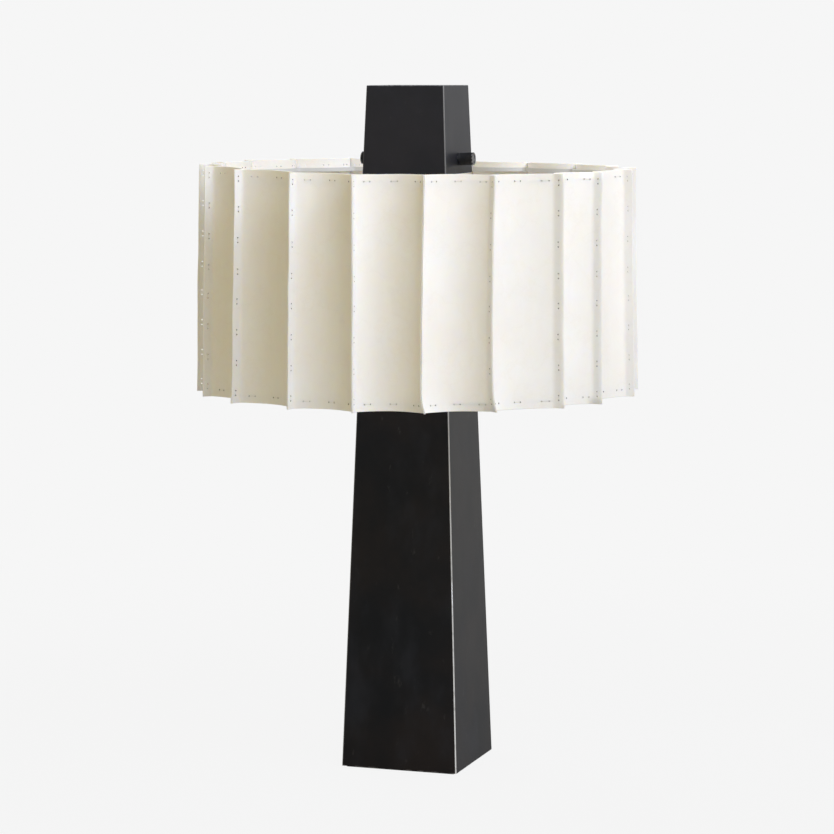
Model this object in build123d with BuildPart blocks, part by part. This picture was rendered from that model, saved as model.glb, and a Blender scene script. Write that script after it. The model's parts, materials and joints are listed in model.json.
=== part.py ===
from build123d import *

import os
from math import atan, cos, hypot, radians, sin, sqrt

os.makedirs("parts", exist_ok=True)

# A table lamp: a tapered square column of blackened sheet steel, a drum shade of laced parchment flutes
# and a tapered square cap that carries two turn switches.
# The lamp's axis is Z, the table is Z = 0, the front face looks along -Y. Sizes are in millimetres.

# The lamp as a whole
overall_height = 711.0
sheet = 2.0
corner_radius = 1.0
slip = 0.2
thread_clearance = 0.05
turning_clearance = 0.05

# Column and foot
foot_width = 125.8
column_top_width = 98.5
column_rise = 9.0
pad_thickness = 1.5
pad_inset = 4.0
ballast_height = 20.0
ballast_recess_depth = 9.0
ballast_recess_diameter = 30.0

# Cord inlet in the rear wall
inlet_above_ballast = 12.0
inlet_bore = 7.2
inlet_barrel = 10.0
inlet_flange = 15.0
inlet_flange_thickness = 2.0
inlet_barb = 12.5
inlet_barb_length = 4.0
inlet_barb_taper = 10.0

# Riser pipe and what is threaded on it
pipe_diameter = 10.0
pipe_bore = 7.0
pipe_overrun = 1.0
port_diameter = 5.0
port_lift = 6.0
nut_across_flats = 14.0
nut_height = 5.0
washer_diameter = 24.0
washer_thickness = 1.5

# Twin lamp holders and bulbs
strap_width = 22.0
strap_thickness = 3.0
holder_offset = 58.0
holder_diameter = 34.0
holder_neck = 18.0
holder_neck_height = 5.0
holder_cap_height = 24.0
holder_shell_height = 40.0
holder_floor = 6.0
holder_wall = 1.5
nipple_engagement = 8.0
screw_shell_wall = 0.7
screw_shell_height = 24.0
contact_diameter = 8.0
contact_height = 2.5
contact_taper = 15.0
bulb_cap_diameter = 26.4
bulb_cap_height = 27.5
bulb_tip_diameter = 9.0
bulb_tip_height = 1.5
bulb_cap_shoulder = 5.0
bulb_diameter = 60.0
bulb_length = 108.0
bulb_wall = 1.0
bulb_neck_inset = 0.4
bulb_neck_height = 6.0
bulb_shoulder_angle = 40.0

# Shade
shade_top_diameter = 455.0
shade_bottom_diameter = 463.0
shade_height = 232.0
shade_above_cap_edge = 5.5
shade_turn = 2.6
panel_count = 20
panel_thickness = 1.2
flute_depth = 24.0
seam_flange = 8.0
seam_bend = 5.0
seam_gap = 0.2
ring_strip = 3.0
ring_strip_height = 4.0
ring_inset = 7.5
ring_bend = 6.0
spider_drop = 13.0
spider_arm_count = 4
spider_arm_diameter = 4.0
spider_hub_diameter = 38.0
spider_hub_thickness = 7.0
spider_socket_depth = 5.0

# Cap, switches and knobs
cap_height = 91.0
cap_foot_width = 90.5
cap_top_width = 83.6
bracket_inset = 1.0
bracket_sheet = 2.0
ear_width = 26.0
ear_above_knob = 12.0
knob_height = 15.0
knob_diameter = 13.0
knob_length = 16.0
knob_gap = 0.5
knob_rim = 1.0
knob_dish = 0.6
knob_wall = 1.0
knob_clearance = 0.3
knurl_count = 20
knurl_depth = 0.45
knurl_margin = 1.6
switch_width = 18.0
switch_tall = 14.0
switch_depth = 15.0
bushing_diameter = 7.0
bushing_proud = 2.6
ring_nut_height = 2.0
shaft_diameter = 4.0
shaft_in_switch = 8.0
shaft_in_knob = 9.0

# Levels up the lamp
cap_bottom = overall_height - cap_height
shade_top = cap_bottom + shade_above_cap_edge
shade_bottom = shade_top - shade_height
column_foot = pad_thickness
column_top = shade_bottom + column_rise
column_height = column_top - column_foot
ballast_top = column_foot + ballast_height
ballast_seat = column_foot + ballast_recess_depth
foot_nut = ballast_seat - washer_thickness - nut_height
pipe_bottom = foot_nut - pipe_overrun
column_nut = column_top + washer_thickness
strap_bottom = column_nut + nut_height
strap_top = strap_bottom + strap_thickness
top_ring_level = shade_top - ring_inset
bottom_ring_level = shade_bottom + ring_inset
spider_level = top_ring_level - spider_drop
spider_bottom = spider_level - spider_hub_thickness / 2
spider_top = spider_level + spider_hub_thickness / 2
bracket_bottom = cap_bottom + bracket_inset
bracket_top = bracket_bottom + bracket_sheet
pipe_top = bracket_top + nut_height + pipe_overrun
inlet_level = ballast_top + inlet_above_ballast
knob_level = cap_bottom + knob_height

# Radii of the threaded fits
pipe_radius = pipe_diameter / 2
threaded_bore = pipe_radius + thread_clearance
pipe_hole = pipe_radius + slip

hands = ((-1, "left"), (1, "right"))


def column_half(level):
    """Half the column's outside width at a height."""
    share = (level - column_foot) / column_height
    return (foot_width + (column_top_width - foot_width) * share) / 2


def cap_half(level):
    """Half the cap's outside width at a height."""
    share = (level - cap_bottom) / cap_height
    return (cap_foot_width + (cap_top_width - cap_foot_width) * share) / 2


def tapered_block(low, low_width, high, high_width):
    """Square frustum between two levels."""
    with BuildPart() as block:
        with BuildSketch(Plane.XY.offset(low)):
            Rectangle(low_width, low_width)
        with BuildSketch(Plane.XY.offset(high)):
            Rectangle(high_width, high_width)
        loft(ruled=True)
    return block.part


# Column: welded sheet, closed at the top and open at the foot
column_lean = atan((foot_width - column_top_width) / 2 / column_height)
inlet_plane = Plane(
    origin=(0, column_half(inlet_level), inlet_level),
    x_dir=(1, 0, 0),
    z_dir=(0, cos(column_lean), sin(column_lean)),
)
column_ceiling = column_top - sheet

with BuildPart() as column:
    add(tapered_block(column_foot, foot_width, column_top, column_top_width))
    fillet(column.edges().group_by(Axis.Z)[1], corner_radius)
    column_room = 2 * (column_half(column_ceiling) - sheet)
    add(
        tapered_block(column_foot, foot_width - 2 * sheet, column_ceiling, column_room),
        mode=Mode.SUBTRACT,
    )
    with Locations((0, 0, column_top)):
        Hole(pipe_hole, depth=2 * sheet)
    with BuildSketch(inlet_plane):
        Circle(inlet_barrel / 2 + slip)
    extrude(amount=-2 * sheet, mode=Mode.SUBTRACT)
column.part.label = "column_shell"
export_step(column.part, "parts/column_shell.step")

# Ballast: cast block wedged in the foot, recessed below for the foot nut
with BuildPart() as ballast:
    ballast_foot_width = 2 * (column_half(column_foot) - sheet - slip)
    ballast_top_width = 2 * (column_half(ballast_top) - sheet - slip)
    add(tapered_block(column_foot, ballast_foot_width, ballast_top, ballast_top_width))
    with Locations((0, 0, ballast_top)):
        Hole(pipe_hole)
    with BuildSketch(Plane.XY.offset(column_foot)):
        Circle(ballast_recess_diameter / 2)
    extrude(amount=ballast_recess_depth, mode=Mode.SUBTRACT)
ballast.part.label = "ballast_block"
export_step(ballast.part, "parts/ballast_block.step")

# Felt under the ballast
with BuildPart() as pad:
    with BuildSketch():
        pad_width = foot_width - 2 * pad_inset
        RectangleRounded(pad_width, pad_width, corner_radius)
    extrude(amount=pad_thickness)
pad.part.label = "foot_pad"
export_step(pad.part, "parts/foot_pad.step")

# Bushing that the mains cord enters through, snapped into the rear wall
inlet_clip = sheet + slip
inlet_length = inlet_flange_thickness + inlet_clip + inlet_barb_length

with BuildPart() as bushing:
    with BuildSketch(inlet_plane):
        Circle(inlet_flange / 2)
    extrude(amount=inlet_flange_thickness)
    chamfer(bushing.edges().sort_by(Axis(inlet_plane.origin, inlet_plane.z_dir))[-1], corner_radius)
    with BuildSketch(inlet_plane):
        Circle(inlet_barrel / 2)
    extrude(amount=-inlet_clip)
    with BuildSketch(inlet_plane.offset(-inlet_clip)):
        Circle(inlet_barb / 2)
    extrude(amount=-inlet_barb_length, taper=inlet_barb_taper)
    with BuildSketch(inlet_plane.offset(inlet_flange_thickness)):
        Circle(inlet_bore / 2)
    extrude(amount=-inlet_length, mode=Mode.SUBTRACT)
bushing.part.label = "cord_bushing"
export_step(bushing.part, "parts/cord_bushing.step")

# Riser pipe with a port for the mains leads and two for the lamp-holder leads
holder_port = strap_top + nut_height + port_lift
with BuildPart() as pipe:
    with BuildSketch(Plane.XY.offset(pipe_bottom)):
        Circle(pipe_radius)
        Circle(pipe_bore / 2, mode=Mode.SUBTRACT)
    extrude(amount=pipe_top - pipe_bottom)
    for port_level, port_direction in (
        (inlet_level, (0, 1, 0)),
        (holder_port, (-1, 0, 0)),
        (holder_port, (1, 0, 0)),
    ):
        with BuildSketch(Plane(origin=(0, 0, port_level), z_dir=port_direction)):
            Circle(port_diameter / 2)
        extrude(amount=pipe_diameter, mode=Mode.SUBTRACT)
pipe.part.label = "riser_pipe"
export_step(pipe.part, "parts/riser_pipe.step")

# Hexagon nuts on the pipe, and one under each lamp holder's nipple
nut_seats = (
    (0, foot_nut),
    (0, column_nut),
    (0, strap_top),
    (0, spider_bottom - nut_height),
    (0, spider_top),
    (0, bracket_bottom - nut_height),
    (0, bracket_top),
    (-holder_offset, strap_bottom - nut_height),
    (holder_offset, strap_bottom - nut_height),
)
with BuildPart() as nuts:
    for seat_x, seat_level in nut_seats:
        with BuildSketch(Plane.XY.offset(seat_level)):
            with Locations((seat_x, 0)):
                RegularPolygon(nut_across_flats / 2, 6, major_radius=False)
                Circle(threaded_bore, mode=Mode.SUBTRACT)
        extrude(amount=nut_height)
nuts.part.label = "pipe_nuts"
export_step(nuts.part, "parts/pipe_nuts.step")

# Washers under the ballast and on the column's top
with BuildPart() as washers:
    for washer_level in (ballast_seat - washer_thickness, column_top):
        with BuildSketch(Plane.XY.offset(washer_level)):
            Circle(washer_diameter / 2)
            Circle(pipe_hole, mode=Mode.SUBTRACT)
        extrude(amount=washer_thickness)
washers.part.label = "pipe_washers"
export_step(washers.part, "parts/pipe_washers.step")

# Strap across the pipe that carries both lamp holders
with BuildPart() as strap:
    with BuildSketch(Plane.XY.offset(strap_bottom)):
        SlotCenterToCenter(2 * holder_offset, strap_width)
        with Locations((-holder_offset, 0), (0, 0), (holder_offset, 0)):
            Circle(pipe_hole, mode=Mode.SUBTRACT)
    extrude(amount=strap_thickness)
strap.part.label = "socket_bracket"
export_step(strap.part, "parts/socket_bracket.step")

# Short nipples that hold the lamp holders down on the strap
with BuildPart() as nipples:
    with BuildSketch(Plane.XY.offset(strap_bottom - nut_height)):
        with Locations((-holder_offset, 0), (holder_offset, 0)):
            Circle(pipe_radius)
            Circle(pipe_bore / 2, mode=Mode.SUBTRACT)
    extrude(amount=nut_height + strap_thickness + nipple_engagement)
nipples.part.label = "socket_nipples"
export_step(nipples.part, "parts/socket_nipples.step")

# Heights inside a lamp holder, counted from the strap's top
holder_radius = holder_diameter / 2
holder_bore = holder_radius - holder_wall
neck_radius = holder_neck / 2
flare_height = holder_neck_height + (holder_radius - neck_radius)
shell_base = holder_cap_height
shell_floor = shell_base + holder_floor
bulb_base = shell_floor + contact_height
globe_base = bulb_base + bulb_cap_height
bulb_radius = bulb_diameter / 2
bulb_cap_radius = bulb_cap_diameter / 2
globe_top = bulb_base + bulb_length
globe_centre = globe_top - bulb_radius
globe_neck = bulb_cap_radius - bulb_neck_inset
shoulder = radians(bulb_shoulder_angle)


def globe_section(inset):
    """Half outline of the glass, drawn in by a wall thickness, from the neck to the crown."""
    ball = bulb_radius - inset
    neck = globe_neck - inset
    shoulder_point = (ball * cos(shoulder), globe_centre - ball * sin(shoulder))
    with BuildSketch() as section:
        with BuildLine():
            rise = Line((neck, globe_base), (neck, globe_base + bulb_neck_height))
            TangentArc(shoulder_point, rise @ 1, tangent=(-sin(shoulder), -cos(shoulder)))
            ThreePointArc(
                shoulder_point,
                (ball * cos(shoulder / 2), globe_centre + ball * sin(shoulder / 2)),
                (0, globe_centre + ball),
            )
            Polyline((0, globe_centre + ball), (0, globe_base), rise @ 0)
        make_face()
    return section.sketch


for side, hand in hands:
    holder_plane = Plane(origin=(side * holder_offset, 0, strap_top), x_dir=(1, 0, 0), z_dir=(0, -1, 0))
    holder_axis = Axis(holder_plane.origin, (0, 0, 1))

    # Cap of the lamp holder: a neck that flares to the shell's width
    with BuildPart() as holder_cap:
        with BuildSketch(holder_plane):
            with BuildLine():
                Polyline(
                    (threaded_bore, 0),
                    (neck_radius, 0),
                    (neck_radius, holder_neck_height),
                    (holder_radius, flare_height),
                    (holder_radius, shell_base),
                    (threaded_bore, shell_base),
                    close=True,
                )
            make_face()
        revolve(axis=holder_axis)
    holder_cap.part.label = f"{hand}_socket_cap"
    export_step(holder_cap.part, f"parts/{hand}_socket_cap.step")

    # Shell of the lamp holder, with the floor that the contacts stand on
    with BuildPart() as holder_shell:
        with BuildSketch(Plane.XY.offset(strap_top + shell_base)):
            with Locations((side * holder_offset, 0)):
                Circle(holder_radius)
        extrude(amount=holder_shell_height)
        with BuildSketch(Plane.XY.offset(strap_top + shell_floor)):
            with Locations((side * holder_offset, 0)):
                Circle(holder_bore)
        extrude(amount=holder_shell_height, mode=Mode.SUBTRACT)
    holder_shell.part.label = f"{hand}_socket_shell"
    export_step(holder_shell.part, f"parts/{hand}_socket_shell.step")

    # Brass sleeve that the bulb screws into
    with BuildPart() as screw_shell:
        with BuildSketch(Plane.XY.offset(strap_top + shell_floor)):
            with Locations((side * holder_offset, 0)):
                Circle(bulb_cap_radius + slip + screw_shell_wall)
                Circle(bulb_cap_radius + slip, mode=Mode.SUBTRACT)
        extrude(amount=screw_shell_height)
    screw_shell.part.label = f"{hand}_screw_shell"
    export_step(screw_shell.part, f"parts/{hand}_screw_shell.step")

    # Contact that meets the bulb's tip
    with BuildPart() as contact:
        with BuildSketch(Plane.XY.offset(strap_top + shell_floor)):
            with Locations((side * holder_offset, 0)):
                Circle(contact_diameter / 2)
        extrude(amount=contact_height, taper=contact_taper)
    contact.part.label = f"{hand}_centre_contact"
    export_step(contact.part, f"parts/{hand}_centre_contact.step")

    # Metal cap of the bulb, from its tip to the glass
    with BuildPart() as bulb_cap:
        with BuildSketch(holder_plane):
            with BuildLine():
                Polyline(
                    (0, bulb_base),
                    (bulb_tip_diameter / 2, bulb_base),
                    (bulb_tip_diameter / 2, bulb_base + bulb_tip_height),
                    (bulb_cap_radius, bulb_base + bulb_cap_shoulder),
                    (bulb_cap_radius, globe_base),
                    (0, globe_base),
                    close=True,
                )
            make_face()
        revolve(axis=holder_axis)
    bulb_cap.part.label = f"{hand}_bulb_cap"
    export_step(bulb_cap.part, f"parts/{hand}_bulb_cap.step")

    # Glass of the bulb, hollow and open at the neck
    with BuildPart() as globe:
        with BuildSketch(holder_plane):
            add(globe_section(0))
        revolve(axis=holder_axis)
        with BuildSketch(holder_plane):
            add(globe_section(bulb_wall))
        revolve(axis=holder_axis, mode=Mode.SUBTRACT)
    globe.part.label = f"{hand}_bulb_globe"
    export_step(globe.part, f"parts/{hand}_bulb_globe.step")

# Plan of a shade panel: a flute between two flanges that lie along the radial seam planes.
# Drawn with the flute's middle on local X; seam_along points out along the seam at +Y.
panel_step = 360 / panel_count
half_step = radians(panel_step / 2)
seam_along = Vector(cos(half_step), sin(half_step))
seam_across = Vector(sin(half_step), -cos(half_step))


def rib_radius(level):
    """Radius of the ribs at a height: the shade widens a little towards its foot."""
    share = (level - shade_bottom) / shade_height
    return (shade_bottom_diameter + (shade_top_diameter - shade_bottom_diameter) * share) / 2


def flute_circle(rib):
    """Circle that touches a panel's middle and its two bends: centre, radius, way to a bend."""
    flute_middle = rib - flute_depth
    bend_centre = seam_along * (rib - seam_flange)
    bend_centre += seam_across * (seam_gap / 2 + panel_thickness + seam_bend)
    fall = flute_middle - bend_centre.X
    radius = (seam_bend**2 - fall**2 - bend_centre.Y**2) / (2 * (fall + seam_bend))
    centre = Vector(flute_middle + radius, 0)
    return centre, radius, (bend_centre - centre).normalized()


def across_panel(point):
    """The same point at the panel's other seam."""
    return Vector(point.X, -point.Y)


def panel_face(rib, lift):
    """One face of the panel, lift away from the outer one: flange, bend, flute, bend, flange."""
    flute_centre, flute_radius, to_bend = flute_circle(rib)
    off_seam = seam_gap / 2 + panel_thickness - lift
    tip = seam_along * rib + seam_across * off_seam
    bend_start = seam_along * (rib - seam_flange) + seam_across * off_seam
    bend_end = flute_centre + to_bend * (flute_radius + lift)
    Line(tip, bend_start)
    TangentArc(bend_start, bend_end, tangent=-seam_along)
    ThreePointArc(bend_end, (rib - flute_depth - lift, 0), across_panel(bend_end))
    TangentArc(across_panel(bend_start), across_panel(bend_end), tangent=-across_panel(seam_along))
    Line(across_panel(bend_start), across_panel(tip))
    return tip


for index in range(panel_count):
    panel_turn = shade_turn + (index + 0.5) * panel_step
    with BuildPart() as panel:
        for panel_end in (shade_bottom, shade_top):
            with BuildSketch(Plane.XY.offset(panel_end).rotated((0, 0, panel_turn))):
                with BuildLine():
                    outer_tip = panel_face(rib_radius(panel_end), 0)
                    inner_tip = panel_face(rib_radius(panel_end), panel_thickness)
                    Line(outer_tip, inner_tip)
                    Line(across_panel(outer_tip), across_panel(inner_tip))
                make_face()
        loft(ruled=True)
    panel.part.label = f"shade_panel_{index + 1:02d}"
    export_step(panel.part, f"parts/shade_panel_{index + 1:02d}.step")

# Ring strips follow the flutes inside the panels and turn a small bend behind every seam
half_strip = ring_strip / 2


def strip_rib(level):
    """Rib radius that a strip is drawn to: the least over its height, which clears the leaning panels."""
    return min(rib_radius(level - ring_strip_height / 2), rib_radius(level + ring_strip_height / 2))


def ring_outline(rib, outward):
    """Closed outline beside the strip's middle line: one long arc a panel and one small bend a seam."""
    flute_centre, flute_radius = flute_circle(rib)[:2]
    strip_radius = flute_radius + panel_thickness + slip + half_strip
    bend_reach = flute_centre.X * cos(half_step)
    bend_reach -= sqrt((strip_radius + ring_bend) ** 2 - (flute_centre.X * sin(half_step)) ** 2)
    to_strip_bend = (seam_along * bend_reach - flute_centre).normalized()
    middle = Vector(flute_centre.X - strip_radius + outward, 0)
    meet = flute_centre + to_strip_bend * (strip_radius - outward)
    crest = seam_along * (bend_reach + ring_bend + outward)
    for index in range(panel_count):
        turn = shade_turn + (index + 0.5) * panel_step
        flute_start = across_panel(meet).rotate(Axis.Z, turn)
        flute_end = meet.rotate(Axis.Z, turn)
        next_start = across_panel(meet).rotate(Axis.Z, turn + panel_step)
        ThreePointArc(flute_start, middle.rotate(Axis.Z, turn), flute_end)
        ThreePointArc(flute_end, crest.rotate(Axis.Z, turn), next_start)


for ring_name, ring_level in (("top_ring", top_ring_level), ("bottom_ring", bottom_ring_level)):
    with BuildPart() as ring:
        with BuildSketch(Plane.XY.offset(ring_level - ring_strip_height / 2)):
            with BuildLine():
                ring_outline(strip_rib(ring_level), half_strip)
            make_face()
            with BuildLine():
                ring_outline(strip_rib(ring_level), -half_strip)
            make_face(mode=Mode.SUBTRACT)
        extrude(amount=ring_strip_height)
    ring.part.label = ring_name
    export_step(ring.part, f"parts/{ring_name}.step")

# Spider: a drilled hub on the pipe and straight arms that rise to the top ring at panel middles
spider_arm_radius = spider_arm_diameter / 2
arm_root = spider_hub_diameter / 2 - spider_socket_depth
ring_inside = strip_rib(top_ring_level) - flute_depth - panel_thickness - slip - ring_strip
arm_reach = ring_inside - arm_root
arm_slope = Vector(arm_reach, 0, spider_drop).normalized()
arm_length = hypot(arm_reach, spider_drop) - slip - spider_arm_radius * spider_drop / arm_reach
arm_turns = [
    shade_turn + (int(arm * panel_count / spider_arm_count) + 0.5) * panel_step
    for arm in range(spider_arm_count)
]


def arm_plane(turn):
    """Plane across a spider arm at the bottom of its socket in the hub."""
    root = Vector(arm_root, 0, spider_level)
    return Plane(origin=root.rotate(Axis.Z, turn), z_dir=arm_slope.rotate(Axis.Z, turn))


with BuildPart() as spider_hub:
    with BuildSketch(Plane.XY.offset(spider_bottom)):
        Circle(spider_hub_diameter / 2)
        Circle(pipe_hole, mode=Mode.SUBTRACT)
    extrude(amount=spider_hub_thickness)
    for arm_turn in arm_turns:
        with BuildSketch(arm_plane(arm_turn)):
            Circle(spider_arm_radius + thread_clearance)
        extrude(amount=2 * spider_socket_depth, mode=Mode.SUBTRACT)
spider_hub.part.label = "spider_hub"
export_step(spider_hub.part, "parts/spider_hub.step")

with BuildPart() as spider_arms:
    for arm_turn in arm_turns:
        with BuildSketch(arm_plane(arm_turn)):
            Circle(spider_arm_radius)
        extrude(amount=arm_length)
spider_arms.part.label = "spider_arms"
export_step(spider_arms.part, "parts/spider_arms.step")

# Planes on the cap's side faces, where the switches come through, square to the leaning walls
cap_lean = atan((cap_foot_width - cap_top_width) / 2 / cap_height)


def side_plane(side):
    """Plane on the cap's outside at the knob's centre, pointing out."""
    return Plane(
        origin=(side * cap_half(knob_level), 0, knob_level),
        x_dir=(0, side, 0),
        z_dir=(side * cos(cap_lean), 0, sin(cap_lean)),
    )


# Cap: welded sheet, open below, drilled for the two switch bushings
cap_ceiling = overall_height - sheet
bushing_hole = bushing_diameter / 2 + slip

with BuildPart() as cap:
    add(tapered_block(cap_bottom, cap_foot_width, overall_height, cap_top_width))
    fillet(cap.edges().group_by(Axis.Z)[1] + cap.edges().group_by(Axis.Z)[2], corner_radius)
    cap_room = 2 * (cap_half(cap_ceiling) - sheet)
    add(
        tapered_block(cap_bottom, cap_foot_width - 2 * sheet, cap_ceiling, cap_room),
        mode=Mode.SUBTRACT,
    )
    for side, hand in hands:
        with BuildSketch(side_plane(side)):
            Circle(bushing_hole)
        extrude(amount=-2 * sheet, mode=Mode.SUBTRACT)
cap.part.label = "cap_shell"
export_step(cap.part, "parts/cap_shell.step")

# Bracket: a pan that closes the cap's mouth, with an ear behind each switch hole
ear_top = knob_level + ear_above_knob


def inside_cap(level):
    """Half the room inside the cap at a height, less the clearance."""
    return cap_half(level) - sheet - slip


with BuildPart() as bracket:
    with BuildSketch(Plane.XY.offset(bracket_bottom)):
        Rectangle(2 * inside_cap(bracket_top), 2 * inside_cap(bracket_top))
        Circle(pipe_hole, mode=Mode.SUBTRACT)
    extrude(amount=bracket_sheet)
    for side, hand in hands:
        with BuildSketch(Plane.XZ):
            with BuildLine():
                Polyline(
                    (side * inside_cap(bracket_top), bracket_bottom),
                    (side * inside_cap(bracket_top), bracket_top),
                    (side * inside_cap(ear_top), ear_top),
                    (side * (inside_cap(ear_top) - bracket_sheet), ear_top),
                    (side * (inside_cap(bracket_top) - bracket_sheet), bracket_top),
                    (side * (inside_cap(bracket_top) - bracket_sheet), bracket_bottom),
                    close=True,
                )
            make_face()
        extrude(amount=ear_width / 2, both=True)
        with BuildSketch(side_plane(side)):
            Circle(bushing_hole)
        extrude(amount=-2 * (sheet + slip + bracket_sheet), mode=Mode.SUBTRACT)
bracket.part.label = "cap_bracket"
export_step(bracket.part, "parts/cap_bracket.step")

# Knob sizes along its axis, counted out from the cap's face
knob_radius = knob_diameter / 2
knob_end = knob_gap + knob_length
knob_hollow = knob_radius - knob_wall
ring_nut_radius = knob_hollow - knob_clearance
hollow_end = bushing_proud + knob_gap
shaft_radius = shaft_diameter / 2
shaft_root = -(sheet + slip + bracket_sheet + shaft_in_switch)
shaft_tip = hollow_end + shaft_in_knob
switch_seat = -(sheet + slip + bracket_sheet + slip)

with BuildPart() as ring_nuts:
    for side, hand in hands:
        with BuildSketch(side_plane(side)):
            Circle(ring_nut_radius)
            Circle(bushing_diameter / 2 + thread_clearance, mode=Mode.SUBTRACT)
        extrude(amount=ring_nut_height)
ring_nuts.part.label = "switch_ring_nuts"
export_step(ring_nuts.part, "parts/switch_ring_nuts.step")

for side, hand in hands:
    face = side_plane(side)
    turning_axis = Axis(face.origin, face.z_dir)

    # Rotary switch: a moulded block behind the ear with a threaded bushing out through the cap
    with BuildPart() as switch:
        with BuildSketch(face.offset(switch_seat)):
            Rectangle(switch_width, switch_tall)
        extrude(amount=-switch_depth)
        with BuildSketch(face.offset(switch_seat)):
            Circle(bushing_diameter / 2)
        extrude(amount=bushing_proud - switch_seat)
        with BuildSketch(face.offset(bushing_proud)):
            Circle(shaft_radius + turning_clearance)
        extrude(amount=shaft_root - slip - bushing_proud, mode=Mode.SUBTRACT)
    switch.part.label = f"{hand}_switch_body"
    export_step(switch.part, f"parts/{hand}_switch_body.step")

    # Shaft that the knob turns
    with BuildPart() as shaft:
        with BuildSketch(face.offset(shaft_root)):
            Circle(shaft_radius)
        extrude(amount=shaft_tip - shaft_root)
    shaft.part.label = f"{hand}_switch_shaft"
    export_step(shaft.part, f"parts/{hand}_switch_shaft.step")

    # Knob: rounded rim, dished end, hollow over the ring nut, straight knurl round the side
    with BuildPart() as knob:
        with BuildSketch(Plane(origin=face.origin, x_dir=face.z_dir, z_dir=(0, -side, 0))):
            with BuildLine():
                Polyline(
                    (knob_end - knob_dish, 0),
                    (shaft_tip + slip, 0),
                    (shaft_tip + slip, shaft_radius + thread_clearance),
                    (hollow_end, shaft_radius + thread_clearance),
                    (hollow_end, knob_hollow),
                    (knob_gap, knob_hollow),
                    (knob_gap, knob_radius),
                    (knob_end - knob_rim, knob_radius),
                )
                rim_end = (knob_end, knob_radius - knob_rim)
                TangentArc((knob_end - knob_rim, knob_radius), rim_end, tangent=(1, 0))
                TangentArc((knob_end - knob_dish, 0), rim_end, tangent=(0, 1))
            make_face()
        revolve(axis=turning_axis)
        with BuildSketch(face.offset(knob_gap + knurl_margin)):
            with PolarLocations(knob_radius, knurl_count):
                RegularPolygon(knurl_depth, 4)
        extrude(amount=knob_length - 2 * knurl_margin, mode=Mode.SUBTRACT)
    knob.part.label = f"{hand}_knob"
    export_step(knob.part, f"parts/{hand}_knob.step")
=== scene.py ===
import json
import random
from math import atan2, cos, pi, radians, sin

import bmesh
import bpy
from mathutils import Matrix, Vector

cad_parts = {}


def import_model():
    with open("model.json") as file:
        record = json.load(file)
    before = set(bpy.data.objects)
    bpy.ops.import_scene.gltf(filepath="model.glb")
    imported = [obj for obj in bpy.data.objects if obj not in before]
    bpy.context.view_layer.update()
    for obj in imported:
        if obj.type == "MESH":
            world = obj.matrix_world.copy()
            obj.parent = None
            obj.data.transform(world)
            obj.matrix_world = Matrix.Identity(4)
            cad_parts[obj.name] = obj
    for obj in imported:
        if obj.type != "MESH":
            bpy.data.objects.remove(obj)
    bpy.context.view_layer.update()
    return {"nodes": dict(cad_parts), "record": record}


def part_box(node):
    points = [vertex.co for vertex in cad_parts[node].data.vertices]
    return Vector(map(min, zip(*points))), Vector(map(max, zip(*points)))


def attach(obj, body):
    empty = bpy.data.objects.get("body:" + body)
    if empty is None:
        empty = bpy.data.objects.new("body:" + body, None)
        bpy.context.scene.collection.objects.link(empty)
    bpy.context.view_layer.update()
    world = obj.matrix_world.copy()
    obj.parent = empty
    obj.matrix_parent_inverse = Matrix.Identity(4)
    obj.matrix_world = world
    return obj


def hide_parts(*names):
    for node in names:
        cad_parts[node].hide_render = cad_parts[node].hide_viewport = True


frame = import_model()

# The looks of a table lamp: a blackened steel column and cap, and a drum shade of twenty parchment
# flutes, laced flange to flange along every rib. Sizes are in metres, in the frame of the solids.
chance = random.Random(20)

# Levels of the shade, from the frame
shade_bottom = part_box("shade_panel_01")[0].z
shade_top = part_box("shade_panel_01")[1].z
shade_height = shade_top - shade_bottom
shade_middle = (shade_bottom + shade_top) / 2

# Plan of a parchment panel half way up the shade, as the solids have it, of a thinner hide
panel_count = 20
panel_step = 2 * pi / panel_count
half_step = panel_step / 2
shade_turn = radians(2.6)
rib_radius = 0.2295
rib_spread = 0.004
flute_depth = 0.024
panel_thickness = 0.0007
seam_flange = 0.008
seam_bend = 0.005
seam_gap = 0.0002

# Steps of a panel's mesh: up its height, along a flange, round a bend and round the flute. Vertices
# that are nearer to each other than same_place count as one.
panel_rows = 32
flange_steps = 2
bend_steps = 5
flute_steps = 20
same_place = 0.00001

# Hand work: how far each seam in front was laced off its even place, in degrees at the shade's top,
# half way and at its foot, how far its rib leans over, and how far its foot flicks aside. The seams
# behind are off by chance, up to the scatter. The flick is in the lowest share of the height.
front_seams = {
    12: (-3.4, -3.4, -3.4, 0.0, 0.0),
    13: (-1.9, -2.1, -2.7, 0.0, 0.0),
    14: (0.1, 0.0, 0.0, 0.0, 0.0),
    15: (-0.6, -0.5, -0.3, 0.0, 0.0),
    16: (-0.6, -1.1, -1.5, 0.0, 0.9),
    17: (-1.1, -2.0, -1.9, 0.4, 0.8),
    18: (-0.2, -0.3, -0.5, 1.3, 0.0),
    19: (-2.6, -3.2, -3.6, 0.6, 0.0),
}
seam_scatter = 0.5
flick_share = 0.09

# The hide's upper edge was cut higher at the back on the left, round a place between two seams. It is
# highest as far as high_seams from there, and level again low_seams from there.
high_place = 9.5
high_cut = 0.0044
high_seams = 2
low_seams = 6

# The hide wanders slowly, and its cut edges stop short of the rib by about as much. The clouds that
# move it keep near the middle of their range, so their strength is several times that.
hide_wander = 0.0006
cloud_strength = 3.2 * hide_wander
cloud_size = 0.075
cut_edge_round = 0.0002

# Knobs, as the solids have them, with a finer knurl
knob_radius = 0.0065
knob_gap = 0.0005
knob_length = 0.016
knob_rim = 0.001
knob_dish = 0.0006
knob_wall = 0.001
knob_hollow = 0.0026
knurl_count = 48
knurl_margin = 0.0016
knurl_land = 0.00012
knurl_depth = 0.00025

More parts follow.
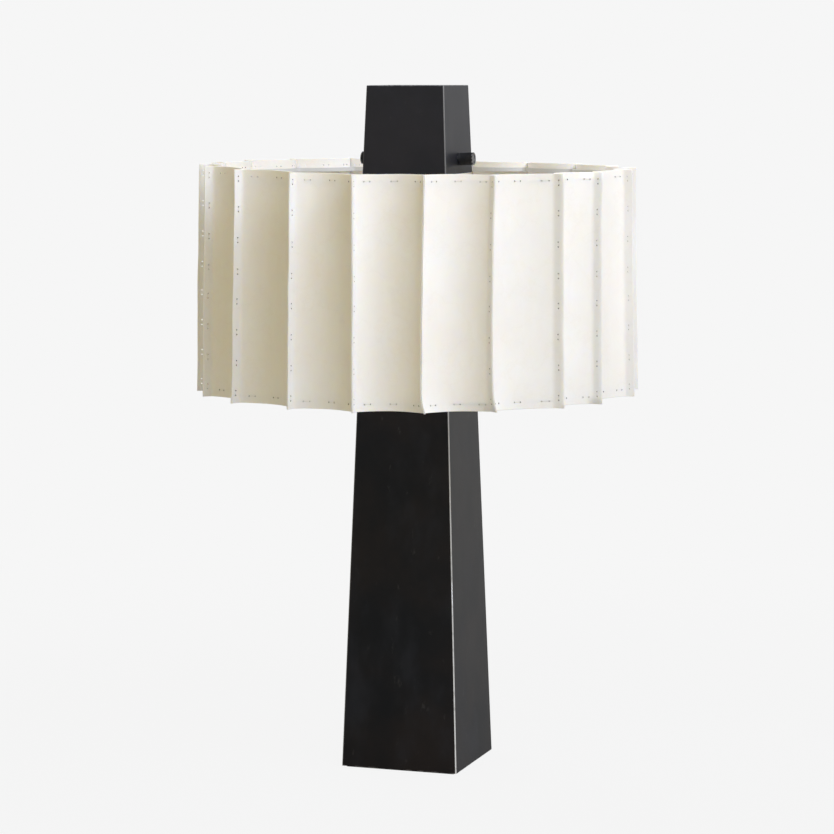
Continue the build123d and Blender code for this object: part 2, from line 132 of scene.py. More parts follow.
# Wear of the blackened steel, with a painted highlight along the corner that faces the camera: how far
# from a corner, an end and a knob's tip it begins, and where it is full. The painted highlight passes
# from that corner to the others over lit_corner_turn each way from a face's middle, and a shell's width
# at its top is measured within top_band of the top.
corner_wear_and_highlight = (0.00125, 0.00085)
end_wear = (0.0009, 0.0004)
knob_wear = (0.0016, 0.0010)
lit_corner_turn = 0.01
top_band = 0.0015

# Lacing: stitches along every seam, and along the top and bottom of every flute. A stitch leans by
# chance, up to an angle in radians.
seam_stitch_count = 8
seam_stitch_from_end = 0.0097
seam_stitch_from_rib = 0.0052
seam_hole_spacing = 0.0046
edge_stitch_degrees = (24, -3, -30)
edge_stitch_from_edge = 0.0070
edge_hole_spacing = 0.0061
needle_hole_radius = 0.0008
needle_hole_sides = 8
pierced_radius = 1.02 * needle_hole_radius
thread_radius = 0.00016
thread_sides = 6
thread_bend_steps = 3
stitch_rise = -0.00002
stitch_scatter = 0.0008
stitch_lean = 0.25

# Pitch of the thread on a bulb's cap
bulb_pitch = 0.0036

# Camera of the photograph, and its picture
picture_width = 834
focal_pixels = 3115.2
sensor_width = 36.0
camera_azimuth = radians(18.43)
camera_swing = 0.00026
camera_distance = 3.2466
camera_height = 0.7304
camera_pitch = 0.1121


class Signal:
    """A value in a tree of shader nodes. Arithmetic on it adds Math nodes."""

    def __init__(self, shading, socket):
        self.shading = shading
        self.socket = socket

    def math(self, operation, first, second=0.0):
        return self.shading.node("Math", {"operation": operation}, {0: first, 1: second})

    def __add__(self, other):
        return self.math("ADD", self, other)

    def __radd__(self, other):
        return self.math("ADD", other, self)

    def __sub__(self, other):
        return self.math("SUBTRACT", self, other)

    def __rsub__(self, other):
        return self.math("SUBTRACT", other, self)

    def __mul__(self, other):
        return self.math("MULTIPLY", self, other)

    def __rmul__(self, other):
        return self.math("MULTIPLY", other, self)

    def __abs__(self):
        return self.math("ABSOLUTE", self)

    def least(self, other):
        return self.math("MINIMUM", self, other)

    def most(self, other):
        return self.math("MAXIMUM", self, other)

    def rise(self, low, high):
        """0 below low, 1 above high, smooth between them; falls instead where low is above high."""
        span = {"Value": self, "From Min": min(low, high), "From Max": max(low, high)}
        mask = self.shading.node("MapRange", {"interpolation_type": "SMOOTHSTEP"}, span)
        return mask if low < high else 1 - mask


class Shading:
    """A tree of shader nodes, added one at a time."""

    def __init__(self, tree):
        self.tree = tree

    def node(self, kind, settings=None, inputs=None, output=0):
        """Adds a node, sets it up, fills its sockets with values or links, and gives one output."""
        added = self.tree.nodes.new("ShaderNode" + kind)
        for key, value in (settings or {}).items():
            setattr(added, key, value)
        self.fill(added, inputs or {})
        return Signal(self, added.outputs[output])

    def fill(self, node, inputs):
        """Sets a node's sockets, each to a value or a link."""
        for key, value in inputs.items():
            if isinstance(value, Signal):
                self.tree.links.new(value.socket, node.inputs[key])
            else:
                node.inputs[key].default_value = value

    def blend(self, factor, first, second):
        """A colour between two. The Mix node has colours on inputs 6 and 7 and on output 2."""
        return self.node("Mix", {"data_type": "RGBA"}, {0: factor, 6: first, 7: second}, 2)

    def place(self):
        """Where a point is on the object."""
        return self.node("TexCoord", output="Object")

    def axes(self):
        """The three coordinates of that place."""
        split = self.node("SeparateXYZ", {}, {0: self.place()}).socket.node
        return [Signal(self, output) for output in split.outputs]

    def stretched(self, scale):
        """The place, with each axis scaled by itself."""
        return self.node("Mapping", {}, {"Vector": self.place(), "Scale": scale})

    def noise(self, scale, detail=2.0, roughness=0.5, place=None):
        """Clouds from 0 to 1, that many to the metre, with finer ones in them."""
        inputs = {"Vector": place or self.place(), "Scale": scale, "Detail": detail}
        return self.node("TexNoise", {}, inputs | {"Roughness": roughness}, "Fac")

    def bump(self, height, depth, strength):
        """Surface relief: a height from 0 to 1, that many metres deep."""
        inputs = {"Height": height, "Distance": depth, "Strength": strength}
        return self.node("Bump", {}, inputs, "Normal")


class Finish(Shading):
    """A material with one main shader."""

    def __init__(self, name):
        self.material = bpy.data.materials.new(name)
        self.material.use_nodes = True
        super().__init__(self.material.node_tree)
        self.main = self.tree.nodes["Principled BSDF"]

    def paint(self, **inputs):
        """Fills the main shader's sockets, named with _ for a space."""
        self.fill(self.main, {key.replace("_", " "): value for key, value in inputs.items()})
        return self.material


def srgb(red, green, blue):
    """A colour as seen, 0 to 255, in the linear values that shaders take."""
    values = [channel / 255 for channel in (red, green, blue)]
    linear = [v / 12.92 if v <= 0.04045 else ((v + 0.055) / 1.055) ** 2.4 for v in values]
    return (*linear, 1.0)


def blackened_steel(name, node, rubbed_and_lit, waxed, tones):
    """Satin black patina on sheet steel, clouded between two tones, rubbed bright along its corners and
    with a painted highlight along the corner that faces the camera. What is rubbed and lit and what is
    waxed is given at the foot and at the top."""
    low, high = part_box(node)
    finish = Finish(name)
    across, along, up = finish.axes()
    foot_half = high.x
    shell = frame["nodes"][node].data
    top_half = max(v.co.x for v in shell.vertices if v.co.z > high.z - top_band)
    half = foot_half + (up - low.z) * ((top_half - foot_half) / (high.z - low.z))
    from_sides = half - abs(across)
    from_front = half - abs(along)
    corner = from_sides.most(from_front)
    end = (high.z - up).least(up - low.z).most(from_sides.least(from_front))
    height = (up - low.z) * (1 / (high.z - low.z))
    cloud = finish.noise(9.0, 4.0, 0.6)
    haze = finish.noise(26.0, 3.0, 0.55, finish.stretched((1.0, 1.0, 0.5)))
    scuff = finish.noise(110.0, 5.0, 0.65, finish.stretched((1.0, 1.0, 0.45))).rise(0.63, 0.75)
    rub = finish.noise(140.0, 3.0, 0.6)
    rubbing_and_highlight = rubbed_and_lit[0] + (rubbed_and_lit[1] - rubbed_and_lit[0]) * height
    wax = waxed[0] + (waxed[1] - waxed[0]) * height
    # Painted highlight: the corner that faces the camera gets all of the rubbed brightness, the others
    # a fifth.
    lit_corner = across.rise(-lit_corner_turn, lit_corner_turn) * along.rise(lit_corner_turn, -lit_corner_turn)
    wear_and_highlight = corner.rise(*corner_wear_and_highlight) * (0.75 + 0.25 * rub.rise(0.3, 0.5)) * rubbing_and_highlight
    wear_and_highlight = wear_and_highlight * (0.2 + 0.8 * lit_corner)
    wear_and_highlight = wear_and_highlight.most(end.rise(*end_wear) * rub.rise(0.45, 0.65) * 0.25)
    patina = finish.blend(cloud.rise(0.35, 0.68), *tones)
    patina = finish.blend(haze.rise(0.45, 0.8) * 0.6, patina, srgb(42, 43, 48))
    patina = finish.blend(scuff * 0.26, patina, srgb(78, 77, 76))
    grain = finish.noise(1500.0, 2.0, 0.6) * 0.25 + finish.noise(34.0, 2.0) * 0.75
    return finish.paint(
        # The bright colour is bare metal where rubbed, and a painted highlight on the corner facing the
        # camera.
        Base_Color=finish.blend(wear_and_highlight, patina, srgb(214, 213, 211)),
        Metallic=wear_and_highlight * 0.8,
        Roughness=0.42 + 0.12 * haze - 0.04 * wear_and_highlight,
        Specular_IOR_Level=0.04,
        Coat_Weight=wax * (0.8 + 0.4 * cloud) * (1 - wear_and_highlight),
        Coat_Roughness=0.38,
        Coat_IOR=1.27,
        Normal=finish.bump(grain, 0.0003, 0.25),
    )


def knob_steel(name):
    """The same patina on the turned and knurled knobs, with bare metal showing in the dished ends."""
    finish = Finish(name)
    out = abs(finish.axes()[0])
    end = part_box("right_knob")[1].x
    dish = out.rise(end - knob_wear[0], end - knob_wear[1])
    speck = finish.noise(330.0, 3.0, 0.6).rise(0.42, 0.62)
    patina = finish.blend(finish.noise(120.0).rise(0.4, 0.7), srgb(24, 24, 25), srgb(36, 35, 34))
    return finish.paint(
        Base_Color=finish.blend(dish * speck, patina, srgb(128, 127, 126)),
        Metallic=dish * speck * 0.6,
        Roughness=0.44 - 0.10 * dish,
        Specular_IOR_Level=0.25,
        Normal=finish.bump(speck, 0.0001, 0.3),
    )


def parchment(name):
    """Scraped hide: ivory, clouded and fibred, a little translucent, with brown painted shade in its
    needle holes.
    """
    finish = Finish(name)
    cloud = finish.noise(14.0, 4.0, 0.6)
    fibre = finish.noise(120.0, 4.0, 0.65, finish.stretched((1.0, 1.0, 0.22)))
    vein = 1 - abs(finish.noise(22.0, 5.0, 0.6) - 0.5).rise(0.0, 0.022)
    painted_hole_shade = finish.node("Attribute", {"attribute_name": "painted_hole_shade"}, output="Fac")
    hide = finish.blend(cloud.rise(0.3, 0.7), srgb(243, 240, 235), srgb(241, 237, 230))
    hide = finish.blend(fibre.rise(0.45, 0.75) * 0.3, hide, srgb(246, 244, 240))
    hide = finish.blend(vein * 0.04, hide, srgb(206, 190, 158))
    relief = 0.55 * fibre + 0.3 * finish.noise(700.0, 3.0, 0.6) + 0.15 * cloud
    finish.main.subsurface_method = "RANDOM_WALK"
    return finish.paint(
        # Painted shade: the walls inside the needle holes are drawn dark brown.
        Base_Color=finish.blend(painted_hole_shade, hide, srgb(95, 80, 62)),
        Roughness=0.52 + 0.14 * fibre,
        Specular_IOR_Level=0.3,
        Subsurface_Weight=0.75,
        Subsurface_Radius=(1.0, 0.85, 0.6),
        Subsurface_Scale=0.0008,
        Normal=finish.bump(relief, 0.00022, 0.3),
    )


def thread(name):
    """Waxed linen thread, lighter and darker along its twist."""
    finish = Finish(name)
    twist = finish.noise(2600.0, 2.0, 0.5)
    return finish.paint(
        Base_Color=finish.blend(twist.rise(0.35, 0.65), srgb(232, 224, 206), srgb(244, 240, 229)),
        Roughness=0.62,
        Normal=finish.bump(twist, 0.0002, 0.6),
    )


def enamel(name):
    """White baked enamel on the shade's frame, slightly orange-peeled."""
    finish = Finish(name)
    peel = finish.noise(420.0, 2.0, 0.5)
    return finish.paint(
        Base_Color=finish.blend(finish.noise(30.0, 3.0), srgb(216, 215, 211), srgb(206, 204, 197)),
        Roughness=0.30 + 0.08 * peel,
        Normal=finish.bump(peel, 0.0001, 0.4),
    )


def felt(name):
    """Charcoal felt: matted fibres with a rough nap."""
    finish = Finish(name)
    nap = finish.noise(1100.0, 4.0, 0.7)
    matted = finish.noise(240.0, 3.0, 0.6, finish.stretched((1.0, 0.4, 1.0)))
    return finish.paint(
        Base_Color=finish.blend(nap * 0.6 + matted * 0.4, srgb(30, 30, 31), srgb(66, 65, 63)),
        Roughness=0.92,
        Sheen_Weight=0.35,
        Normal=finish.bump(nap, 0.0006, 0.8),
    )


def cast_iron(name):
    """Sand-cast iron, grey-black and pitted."""
    finish = Finish(name)
    sand = finish.noise(620.0, 4.0, 0.7)
    rust = finish.noise(45.0, 4.0, 0.65).rise(0.58, 0.75)
    body = finish.blend(sand, srgb(46, 45, 44), srgb(74, 72, 70))
    return finish.paint(
        Base_Color=finish.blend(rust * 0.5, body, srgb(86, 58, 40)),
        Metallic=0.6 - 0.5 * rust,
        Roughness=0.66 + 0.2 * rust,
        Normal=finish.bump(sand, 0.0008, 0.7),
    )


def plated_steel(name):
    """Zinc-plated steel hardware with faint drawn lines and a dull bloom."""
    finish = Finish(name)
    drawn = finish.noise(900.0, 3.0, 0.6, finish.stretched((1.0, 1.0, 0.08)))
    bloom = finish.noise(70.0, 3.0, 0.6)
    return finish.paint(
        Base_Color=finish.blend(bloom.rise(0.35, 0.7), srgb(196, 197, 199), srgb(168, 168, 166)),
        Metallic=1.0,
        Roughness=0.26 + 0.16 * bloom + 0.08 * drawn,
        Normal=finish.bump(drawn, 0.00008, 0.4),
    )


def moulding(name):
    """Black moulded plastic with a fine spark texture."""
    finish = Finish(name)
    spark = finish.noise(1300.0, 3.0, 0.6)
    return finish.paint(
        Base_Color=finish.blend(finish.noise(60.0, 3.0), srgb(20, 20, 21), srgb(34, 33, 33)),
        Roughness=0.46 + 0.14 * spark,
        Normal=finish.bump(spark, 0.0001, 0.5),
    )


def holder_brass(name):
    """Stamped brass, tarnished in clouds."""
    finish = Finish(name)
    tarnish = finish.noise(90.0, 4.0, 0.6).rise(0.4, 0.7)
    return finish.paint(
        Base_Color=finish.blend(tarnish, srgb(203, 170, 98), srgb(152, 118, 62)),
        Metallic=1.0,
        Roughness=0.28 + 0.2 * tarnish,
        Normal=finish.bump(finish.noise(500.0, 2.0), 0.0001, 0.3),
    )


def bulb_metal(name):
    """Rolled aluminium of a bulb's cap, with its thread drawn as relief."""
    finish = Finish(name)
    turns = finish.node("Math", {"operation": "SINE"}, {0: finish.axes()[2] * (2 * pi / bulb_pitch)})
    return finish.paint(
        Base_Color=finish.blend(finish.noise(150.0, 3.0), srgb(206, 206, 205), srgb(182, 181, 178)),
        Metallic=1.0,
        Roughness=0.30 + 0.10 * finish.noise(300.0, 3.0),
        Normal=finish.bump(turns * 0.5 + 0.5, 0.0006, 0.8),
    )


def opal_glass(name):
    """Opal glass: milk white under a clear gloss."""
    finish = Finish(name)
    return finish.paint(
        Base_Color=finish.blend(finish.noise(35.0, 3.0), srgb(240, 239, 234), srgb(231, 229, 222)),
        Roughness=0.22 + 0.06 * finish.noise(60.0, 2.0),
        Subsurface_Weight=0.3,
        Subsurface_Radius=(1.0, 0.95, 0.85),
        Subsurface_Scale=0.004,
        Coat_Weight=0.5,
        Coat_Roughness=0.08,
    )


finishes = {
    "parchment": parchment("parchment_hide"),
    "white_frame": enamel("white_enamel"),
    "felt": felt("charcoal_felt"),
    "ballast_iron": cast_iron("cast_iron_ballast"),
    "bright_steel": plated_steel("plated_steel"),
    "black_moulding": moulding("black_moulded"),
    "holder_brass": holder_brass("stamped_brass"),
    "bulb_metal": bulb_metal("bulb_cap_metal"),
    "bulb_glass": opal_glass("opal_bulb_glass"),
}
thread_finish = thread("waxed_linen")
knob_finish = knob_steel("blackened_knob")
own_finishes = {
    "column_shell": blackened_steel(
        "blackened_column",
        "column_shell",
        # Rubbed wear and painted highlight, at the foot and at the top
        rubbed_and_lit=(1.0, 0.7),
        waxed=(0.14, 0.47),
        tones=(srgb(20, 21, 23), srgb(32, 28, 27)),
    ),
    "cap_shell": blackened_steel(
        "blackened_cap",
        "cap_shell",
        # Rubbed wear and painted highlight, at the foot and at the top
        rubbed_and_lit=(0.22, 0.32),
        waxed=(0.46, 0.55),
        # Painted light: the cap's tones are lighter and bluer than the column's, for the light it
        # catches above the shade.
        tones=(srgb(34, 34, 37), srgb(39, 38, 41)),
    ),
    "left_knob": knob_finish,
    "right_knob": knob_finish,
}
for node_name, node in frame["nodes"].items():
    slot_name = node.data.materials[0].name
    finish = own_finishes[node_name] if node_name in own_finishes else finishes[slot_name]
    node.data.materials.clear()
    node.data.materials.append(finish)


def choose(piece):
    """Selects one piece alone and makes it active."""
    bpy.ops.object.select_all(action="DESELECT")
    piece.select_set(True)
    bpy.context.view_layer.objects.active = piece


def begin(name):
    """Names the primitive just added, puts its place into its mesh and opens it for editing."""
    piece = bpy.context.object
    piece.name = name
    piece.data.name = name
    bpy.ops.object.transform_apply(location=True, rotation=True, scale=True)
    bpy.ops.object.mode_set(mode="EDIT")
    return piece


def pick(piece, rule):
    """Selects the vertices whose place meets a rule, and nothing else."""
    bpy.ops.mesh.select_all(action="DESELECT")
    mesh = bmesh.from_edit_mesh(piece.data)
    for vertex in mesh.verts:
        vertex.select = rule(vertex.co)
    mesh.select_flush_mode()
    bmesh.update_edit_mesh(piece.data)


def close(piece):
    """Turns the faces outward and leaves edit mode."""
    bpy.ops.mesh.select_all(action="SELECT")
    bpy.ops.mesh.normals_make_consistent(inside=False)
    bpy.ops.object.mode_set(mode="OBJECT")
    return piece


def apply(piece, kind, **settings):
    """Adds a modifier, sets it and applies it."""
    modifier = piece.modifiers.new(kind.lower(), kind)
    for key, value in settings.items():
        setattr(modifier, key, value)
    bpy.context.view_layer.objects.active = piece
    bpy.ops.object.modifier_apply(modifier=modifier.name)


def round_edges(piece, width, segments, angle):
    """Rounds the edges that are sharper than an angle."""
    apply(piece, "BEVEL", width=width, segments=segments, limit_method="ANGLE", angle_limit=angle)


def copy_of(piece, name, place):
    """Another of a piece, with its own mesh, moved to a place."""
    copy = piece.copy()
    copy.data = piece.data.copy()
    copy.name = name
    copy.data.name = name
    copy.data.transform(place)
    bpy.context.scene.collection.objects.link(copy)
    return copy


def discard(piece):
    """Removes a piece and its mesh."""
    mesh = piece.data
    bpy.data.objects.remove(piece)
    bpy.data.meshes.remove(mesh)


def joined(pieces, name):
    """Several pieces as one."""
    choose(pieces[0])
    for piece in pieces:
        piece.select_set(True)
    bpy.ops.object.join()
    whole = bpy.context.object
    whole.name = name
    whole.data.name = name
    return whole


def dress(piece, finish, body, slot_name, *nodes):
    """Gives a piece its finish, the body that it moves with and the solids that it stands for."""
    piece.data.materials.clear()
    piece.data.materials.append(finish)
    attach(piece, body)
    if nodes:
        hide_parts(*nodes)


# Plan of the panel's middle surface, with the flute's middle on X and a seam at each side
half_sheet = panel_thickness / 2
seam_along = Vector((cos(half_step), sin(half_step), 0))
seam_across = Vector((sin(half_step), -cos(half_step), 0))
bend_out = rib_radius - seam_flange
bend_centre = seam_along * bend_out + seam_across * (seam_gap / 2 + panel_thickness + seam_bend)
flute_radius = rib_radius - flute_depth
bend_fall = flute_radius - bend_centre.x
flute_arc = (seam_bend**2 - bend_fall**2 - bend_centre.y**2) / (2 * (bend_fall + seam_bend))
flute_centre = Vector((flute_radius + flute_arc, 0, 0))
to_bend = bend_centre - flute_centre
flute_half_turn = pi - atan2(to_bend.y, to_bend.x)
bend_turn = pi / 2 - half_step - flute_half_turn
cut_radius = rib_radius - hide_wander


def across_panel(point):
    """The same point at the panel's other seam."""
    return Vector((point.x, -point.y, point.z))


def extrude_along(direction, length, steps):
    """Extrudes what is selected, in equal steps."""
    move = direction * (length / steps)
    for step in range(steps):
        bpy.ops.mesh.extrude_region_move(TRANSFORM_OT_translate={"value": move})


def turn_about(centre, angle, steps):
    """Sweeps what is selected counter-clockwise about an upright axis."""
    bpy.ops.mesh.spin(steps=steps, angle=-angle, center=centre, axis=(0, 0, 1))


def panel_sheet():
    """One panel's middle surface, drawn out from a cut edge: flange, bend, flute, bend, flange."""
    start = seam_along * cut_radius + seam_across * (seam_gap / 2 + half_sheet)
    bpy.ops.object.select_all(action="DESELECT")
    bpy.ops.mesh.primitive_plane_add(
        size=shade_height,
        location=(start.x, start.y + shade_height / 2, shade_middle),
        rotation=(0, pi / 2, 0),
    )
    sheet = begin("parchment_panel")
    pick(sheet, lambda place: place.y > start.y + half_sheet)
    bpy.ops.mesh.delete(type="VERT")
    bpy.ops.mesh.select_all(action="SELECT")
    bpy.ops.mesh.subdivide(number_cuts=panel_rows - 1)
    extrude_along(-seam_along, cut_radius - bend_out, flange_steps)
    turn_about(bend_centre, bend_turn, bend_steps)
    turn_about(flute_centre, 2 * flute_half_turn, flute_steps)
    turn_about(across_panel(bend_centre), bend_turn, bend_steps)
    extrude_along(across_panel(seam_along), cut_radius - bend_out, flange_steps)
    return close(sheet)


def stitch_frames():
    """One panel's stitches: middle, direction from hole to hole, outward direction and spacing."""
    up = Vector((0, 0, 1))
    frames = []
    pitch = (shade_height - 2 * seam_stitch_from_end) / (seam_stitch_count - 1)
    for index in range(seam_stitch_count):
        level = shade_bottom + seam_stitch_from_end + index * pitch
        level += chance.uniform(-stitch_scatter, stitch_scatter)
        face = seam_along * (rib_radius - seam_stitch_from_rib)
        face += seam_across * (seam_gap / 2 + panel_thickness) + up * level
        frames.append((face, up, seam_across, seam_hole_spacing))
        frames.append((across_panel(face), up, across_panel(seam_across), seam_hole_spacing))
    for level in (shade_bottom + edge_stitch_from_edge, shade_top - edge_stitch_from_edge):
        for degrees in edge_stitch_degrees:
            angle = radians(degrees) + chance.uniform(-stitch_scatter, stitch_scatter) / flute_arc
            outward = Vector((cos(angle), sin(angle), 0))
            face = flute_centre - outward * flute_arc + up * level
            frames.append((face, outward.cross(up), outward, edge_hole_spacing))
    return frames


def needle_holes(frames):
    """The needle holes at both ends of every stitch: middle on the face, and outward direction."""
    holes = []
    for middle, direction, outward, spacing in frames:
        for side in (-0.5, 0.5):
            holes.append((middle + direction * (side * spacing), outward))
    return holes


def hole_pins(holes):
    """Pins that pierce a panel at every needle hole."""
    bpy.ops.object.select_all(action="DESELECT")
    pins = None
    for middle, outward in holes:
        bpy.ops.mesh.primitive_cylinder_add(
            vertices=needle_hole_sides,
            radius=needle_hole_radius,
            depth=4 * panel_thickness,
            location=middle - outward * half_sheet,
            rotation=outward.to_track_quat("Z", "Y").to_euler(),
        )
        pins = pins or begin("needle_holes")
    return close(pins)


def stitch(name, spacing):
    """Thread along X from hole to hole, a little proud of the face along Y, its ends bent in."""
    bend = 2 * thread_radius
    reach = spacing / 2
    bpy.ops.object.select_all(action="DESELECT")
    bpy.ops.mesh.primitive_circle_add(
        vertices=thread_sides,
        radius=thread_radius,
        fill_type="NGON",
        location=(reach, stitch_rise - bend - half_sheet, 0),
        rotation=(pi / 2, 0, 0),
    )
    loop = begin(name)
    bpy.ops.mesh.select_all(action="SELECT")
    extrude_along(Vector((0, 1, 0)), half_sheet, 1)
    turn_about((reach - bend, stitch_rise - bend, 0), pi / 2, thread_bend_steps)
    extrude_along(Vector((-1, 0, 0)), spacing - 2 * bend, 2)
    turn_about((bend - reach, stitch_rise - bend, 0), pi / 2, thread_bend_steps)
    extrude_along(Vector((0, -1, 0)), half_sheet, 1)
    return close(loop)


def hide_texture():
    """The slow wander of a hide that was cut and bent by hand."""
    texture = bpy.data.textures.new("hide_wander", "CLOUDS")
    texture.cloud_type = "COLOR"
    texture.noise_scale = cloud_size
    texture.noise_depth = 1
    return texture


def mark_pierced(panel, holes):
    """Marks the faces inside the needle holes, where the hide's finish paints shade in brown."""
    marks = panel.data.attributes.new("painted_hole_shade", "FLOAT", "FACE")
    hole_of = {}
    for vertex in panel.data.vertices:
        for index, (middle, outward) in enumerate(holes):
            offset = vertex.co - middle
            if offset.length < 3 * panel_thickness:
                away = offset - outward * offset.dot(outward)
                if away.length < pierced_radius:
                    hole_of[vertex.index] = index
    for face in panel.data.polygons:
        found = {hole_of.get(corner) for corner in face.vertices}
        marks.data[face.index].value = float(len(found) == 1 and None not in found)


def hand_work():
    """Every seam's shift at the top, half way and at the foot, its lean, its flick and its rise."""
    seams = []
    for seam in range(panel_count):
        shift = chance.uniform(-seam_scatter, seam_scatter)
        lean = chance.uniform(-seam_scatter, seam_scatter)
        degrees = front_seams.get(seam, (shift, shift, shift, lean, 0.0))
        share = (low_seams - abs(seam - high_place)) / (low_seams - high_seams)
        share = min(max(share, 0), 1)
        rise = high_cut * share * share * (3 - 2 * share)
        seams.append(Vector([radians(angle) for angle in degrees] + [rise]))
    return seams


def between_seams(angle, seams):
    """What the hand did at an angle round the shade, from the seams on both sides of it."""
    place = ((angle - shade_turn) / panel_step) % panel_count
    seam = int(place)
    return seams[seam].lerp(seams[(seam + 1) % panel_count], place - seam)


def hang(piece, seams, of_hide):
    """Carries a piece round with its seams as they shift, lean and flick. What is part of the hide also
    spreads towards the foot, as the ring strips do already, and rises towards the upper edge."""
    flute_middle = rib_radius - flute_depth / 2
    for vertex in piece.data.vertices:
        level = vertex.co.z
        height = (level - shade_bottom) / shade_height
        widening = rib_spread * (0.5 - height)
        out = vertex.co.xy.length
        plan = out if of_hide else out - widening
        angle = atan2(vertex.co.y, vertex.co.x)
        top, middle, foot, lean, flick, rise = between_seams(angle, seams)
        angle += top * height * (2 * height - 1) + foot * (1 - height) * (1 - 2 * height)
        angle += flick * max(0, 1 - height / flick_share) ** 2
        angle += middle * 4 * height * (1 - height) + lean * (plan - flute_middle) / (flute_depth / 2)
        out = plan + widening
        level += rise * height if of_hide else 0
        vertex.co = (out * cos(angle), out * sin(angle), level)


def ring_strip(node_name, seams):
    """A ring strip of the solids, carried round with the flutes that it is laced into."""
    strip = copy_of(frame["nodes"][node_name], f"laced_{node_name}", Matrix())
    choose(strip)
    bpy.ops.object.mode_set(mode="EDIT")
    bpy.ops.mesh.select_all(action="SELECT")
    bpy.ops.mesh.remove_doubles(threshold=same_place)
    bpy.ops.object.mode_set(mode="OBJECT")
    hang(strip, seams, of_hide=False)
    bpy.ops.object.shade_smooth_by_angle(angle=radians(30))
    dress(strip, finishes["white_frame"], "lamp", "white_frame", node_name)


def wander(piece, texture):
    """Moves a piece with the hide around it, so that neighbours and threads move alike."""
    apply(
        piece,
        "DISPLACE",
        texture=texture,
        texture_coords="GLOBAL",
        direction="RGB_TO_XYZ",
        mid_level=0.5,
        strength=cloud_strength,
    )


def shade():
    """Twenty laced panels, each with its own mesh, their lacing and the ring strips inside them."""
    frames = stitch_frames()
    holes = needle_holes(frames)
    panel = panel_sheet()
    apply(panel, "SOLIDIFY", thickness=panel_thickness, offset=0)
    round_edges(panel, cut_edge_round, 1, radians(60))
    pins = hole_pins(holes)
    apply(panel, "BOOLEAN", object=pins, operation="DIFFERENCE", solver="EXACT")
    discard(pins)
    mark_pierced(panel, holes)
    seam_stitch = stitch("seam_stitch", seam_hole_spacing)
    edge_stitch = stitch("edge_stitch", edge_hole_spacing)
    texture = hide_texture()
    seams = hand_work()
    loops = []
    for index in range(panel_count):
        turn = Matrix.Rotation(shade_turn + (index + 0.5) * panel_step, 4, "Z")
        number = f"{index + 1:02d}"
        hide = copy_of(panel, f"parchment_panel_{number}", turn)
        hang(hide, seams, of_hide=True)
        wander(hide, texture)
        choose(hide)
        bpy.ops.object.shade_smooth_by_angle(angle=radians(40))
        dress(hide, finishes["parchment"], "lamp", "parchment", f"shade_panel_{number}")
        for middle, direction, outward, spacing in frames:
            lean = Matrix.Rotation(chance.uniform(-stitch_lean, stitch_lean), 4, "X")
            side = direction.cross(outward)
            basis = Matrix((direction, outward, side)).transposed().to_4x4()
            pattern = seam_stitch if spacing == seam_hole_spacing else edge_stitch
            place = turn @ Matrix.Translation(middle) @ basis @ lean
            loops.append(copy_of(pattern, "loop", place))
    for pattern in (panel, seam_stitch, edge_stitch):
        discard(pattern)
    lacing = joined(loops, "shade_lacing")
    hang(lacing, seams, of_hide=True)
    wander(lacing, texture)
    bpy.ops.object.shade_smooth()
    dress(lacing, thread_finish, "lamp", "parchment")
    for node_name in ("top_ring", "bottom_ring"):
        ring_strip(node_name, seams)


def knob(hand):
    """A turned knob on its switch's axis: straight knurl, round rim, dished end and hollow back."""
    bpy.ops.object.select_all(action="DESELECT")
    bpy.ops.mesh.primitive_cylinder_add(
        vertices=knurl_count,
        radius=knob_radius,
        depth=knob_length,
        location=(0, 0, knob_gap + knob_length / 2),
    )
    piece = begin(f"turned_{hand}_knob")
    end = knob_gap + knob_length
    for level in (knob_gap + knurl_margin, end - knurl_margin):
        bpy.ops.mesh.select_all(action="SELECT")
        bpy.ops.mesh.bisect(plane_co=(0, 0, level), plane_no=(0, 0, 1))
    pick(piece, lambda place: knob_gap + knob_rim < place.z < end - knob_rim)
    bpy.ops.mesh.inset(thickness=knurl_land, depth=-knurl_depth, use_individual=True)
    pick(piece, lambda place: place.z > end - same_place)
    bpy.ops.mesh.inset(thickness=knob_rim)
    bpy.ops.mesh.inset(thickness=knob_rim, depth=-knob_dish / 2)
    bpy.ops.mesh.inset(thickness=knob_radius / 3, depth=-knob_dish / 2)
    pick(piece, lambda place: place.z < knob_gap + same_place)
    bpy.ops.mesh.inset(thickness=knob_wall)
    bpy.ops.mesh.extrude_region_move(TRANSFORM_OT_translate={"value": (0, 0, knob_hollow)})
    close(piece)
    round_edges(piece, knob_rim / 4, 3, radians(50))
    joints = {joint["name"]: joint for joint in frame["record"]["behaviour"]["joints"]}
    joint = joints[f"{hand}_knob_turn"]
    turn = Vector(joint["axis"]).to_track_quat("Z", "Y").to_matrix().to_4x4()
    piece.data.transform(Matrix.Translation(joint["pos_m"]) @ turn)
    bpy.ops.object.shade_smooth_by_angle(angle=radians(35))
    dress(piece, knob_finish, f"{hand}_turning_knob", "blackened_steel", f"{hand}_knob")


def floor():
    """A pale floor that keeps the lamp's shadow and runs into the background further off."""
    bpy.ops.object.select_all(action="DESELECT")
    bpy.ops.mesh.primitive_plane_add(size=floor_size)
    ground = bpy.context.object
    ground.name = "studio_floor"
    finish = Finish("pale_floor")
    across, along = finish.axes()[:2]
    away = finish.node("Math", {"operation": "SQRT"}, {0: across * across + along * along})
    path = finish.node("LightPath", output="Is Camera Ray")
    seen = path.most(Signal(finish, path.socket.node.outputs["Is Glossy Ray"]))
    share = seen * (floor_glow + (1 - floor_glow) * away.rise(*floor_fade))
    glow = finish.node("Emission", {}, {"Color": background, "Strength": 1.0})
    body = Signal(finish, finish.main.outputs[0])
    finish.paint(Base_Color=floor_grey, Roughness=0.9, Specular_IOR_Level=0.1)
    mixed = finish.node("MixShader", {}, {0: share, 1: body, 2: glow})
    finish.fill(finish.tree.nodes["Material Output"], {"Surface": mixed})
    ground.data.materials.append(finish.material)


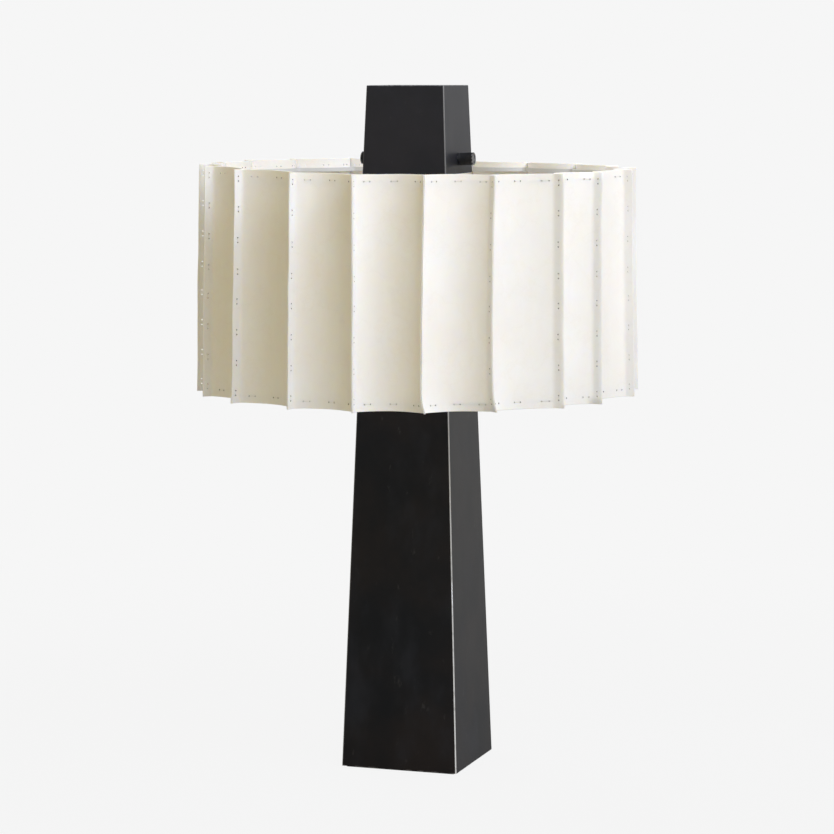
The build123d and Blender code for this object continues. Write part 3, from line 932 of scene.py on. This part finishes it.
def world():
    """Pale background where it is seen, and an even, warm light from all round."""
    surroundings = bpy.data.worlds.new("studio")
    bpy.context.scene.world = surroundings
    surroundings.use_nodes = True
    shading = Shading(surroundings.node_tree)
    path = shading.node("LightPath", output="Is Camera Ray")
    seen = path
    for ray in ("Is Glossy Ray", "Is Transmission Ray"):
        seen = seen.most(Signal(shading, path.socket.node.outputs[ray]))
    colour = shading.blend(seen, fill_light, background)
    shading.fill(surroundings.node_tree.nodes["Background"], {"Color": colour, "Strength": 1.0})


def softbox(name, azimuth, elevation, size, power):
    """A square, cool area light, aimed at the shade's foot."""
    lamp = bpy.data.lights.new(name, "AREA")
    lamp.size = size
    lamp.energy = power
    lamp.color = softbox_tint
    holder = bpy.data.objects.new(name, lamp)
    bpy.context.scene.collection.objects.link(holder)
    aim = Vector((0, 0, shade_bottom))
    away = Vector((sin(azimuth) * cos(elevation), -cos(azimuth) * cos(elevation), sin(elevation)))
    holder.location = aim + away * softbox_distance
    holder.rotation_mode = "QUATERNION"
    holder.rotation_quaternion = away.to_track_quat("Z", "Y")


def camera():
    """The photograph's viewpoint."""
    view = bpy.data.cameras.new("photograph")
    view.sensor_width = sensor_width
    view.lens = sensor_width * focal_pixels / picture_width
    stand = bpy.data.objects.new("photograph", view)
    bpy.context.scene.collection.objects.link(stand)
    stand.location = (
        camera_distance * sin(camera_azimuth),
        -camera_distance * cos(camera_azimuth),
        camera_height,
    )
    stand.rotation_euler = (pi / 2 - camera_pitch, 0, camera_azimuth + camera_swing)
    bpy.context.scene.camera = stand


# The stage. Seen directly, the floor glows like the background, fully from some way off, and near the
# lamp a little less, where its shadow shows.
background = srgb(246, 246, 246)
floor_grey = srgb(175, 175, 175)
floor_size = 40
floor_glow = 0.97
floor_fade = (0.35, 1.4)
fill_light = (0.52, 0.44, 0.225, 1.0)
softbox_tint = (0.9, 1.0, 1.28)
softbox_distance = 2.6
key_azimuth = camera_azimuth + radians(40)
back_azimuth = camera_azimuth + radians(215)

shade()
for hand in ("left", "right"):
    knob(hand)
floor()
world()
softbox("key", key_azimuth, elevation=radians(52), size=1.8, power=63)
softbox("back", back_azimuth, elevation=radians(40), size=1.1, power=30)
camera()
bpy.context.scene.view_settings.view_transform = "Standard"
